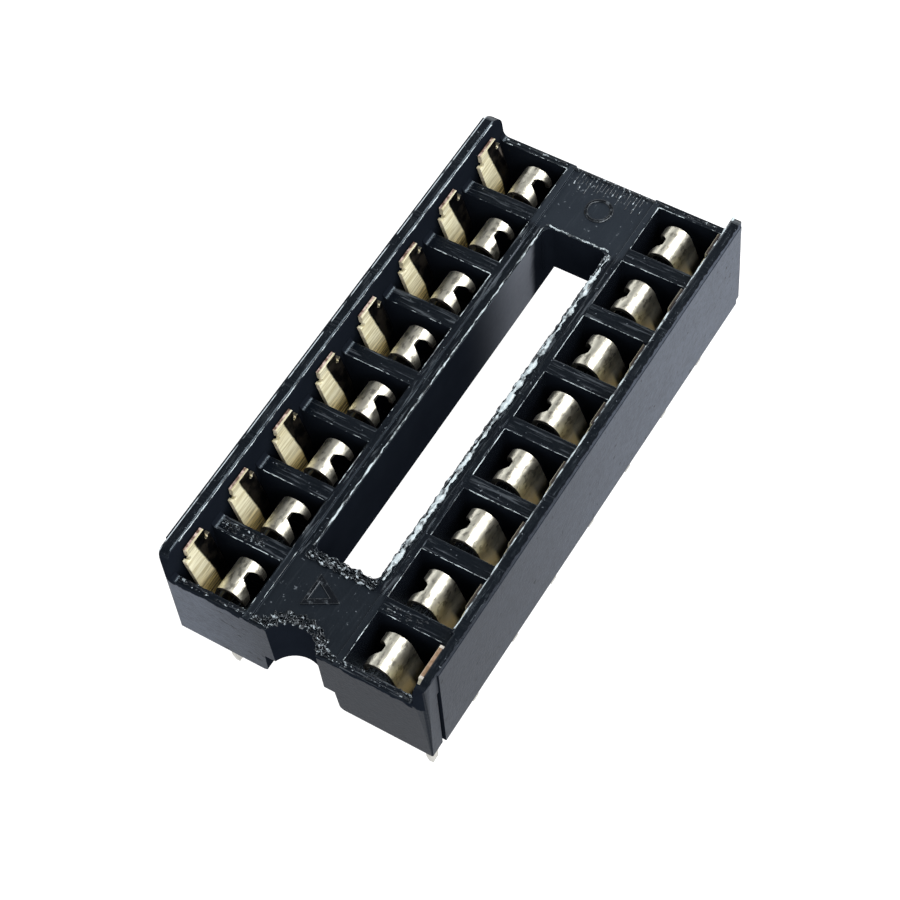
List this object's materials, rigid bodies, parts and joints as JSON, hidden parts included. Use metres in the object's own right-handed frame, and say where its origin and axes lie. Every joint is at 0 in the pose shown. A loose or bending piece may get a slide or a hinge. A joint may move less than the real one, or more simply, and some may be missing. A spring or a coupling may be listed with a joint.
{
  "type": "ic socket",
  "caption": "Socket for a dual in-line chip: a notched plastic frame with an open middle, side rims and open pockets that hold folded spring contacts with solder tails.",
  "frame": {"origin": "centre of the tails' footprint, in the plane of the board's face that the rails' undersides rest on", "axes": "+Z away from the board, +Y along the rows of contacts towards the plain end, so the notched end faces -Y, and +X towards the row that holds contact 1"},
  "size_m": [0.01, 0.0204, 0.0076],
  "materials": {
    "black_plastic": "moulded, satin to glossy, with fine specks and flash",
    "plated_bronze": "tin-plated spring bronze with brushed streaks and copper-coloured cut edges"
  },
  "bodies": {
    "root": {"housing": "black_plastic", "contact_01": "plated_bronze", "contact_02": "plated_bronze", "contact_03": "plated_bronze", "contact_04": "plated_bronze", "contact_05": "plated_bronze", "contact_06": "plated_bronze", "contact_07": "plated_bronze", "contact_08": "plated_bronze", "contact_09": "plated_bronze", "contact_10": "plated_bronze", "contact_11": "plated_bronze", "contact_12": "plated_bronze", "contact_13": "plated_bronze", "contact_14": "plated_bronze", "contact_15": "plated_bronze", "contact_16": "plated_bronze"}
  },
  "joints": []
}
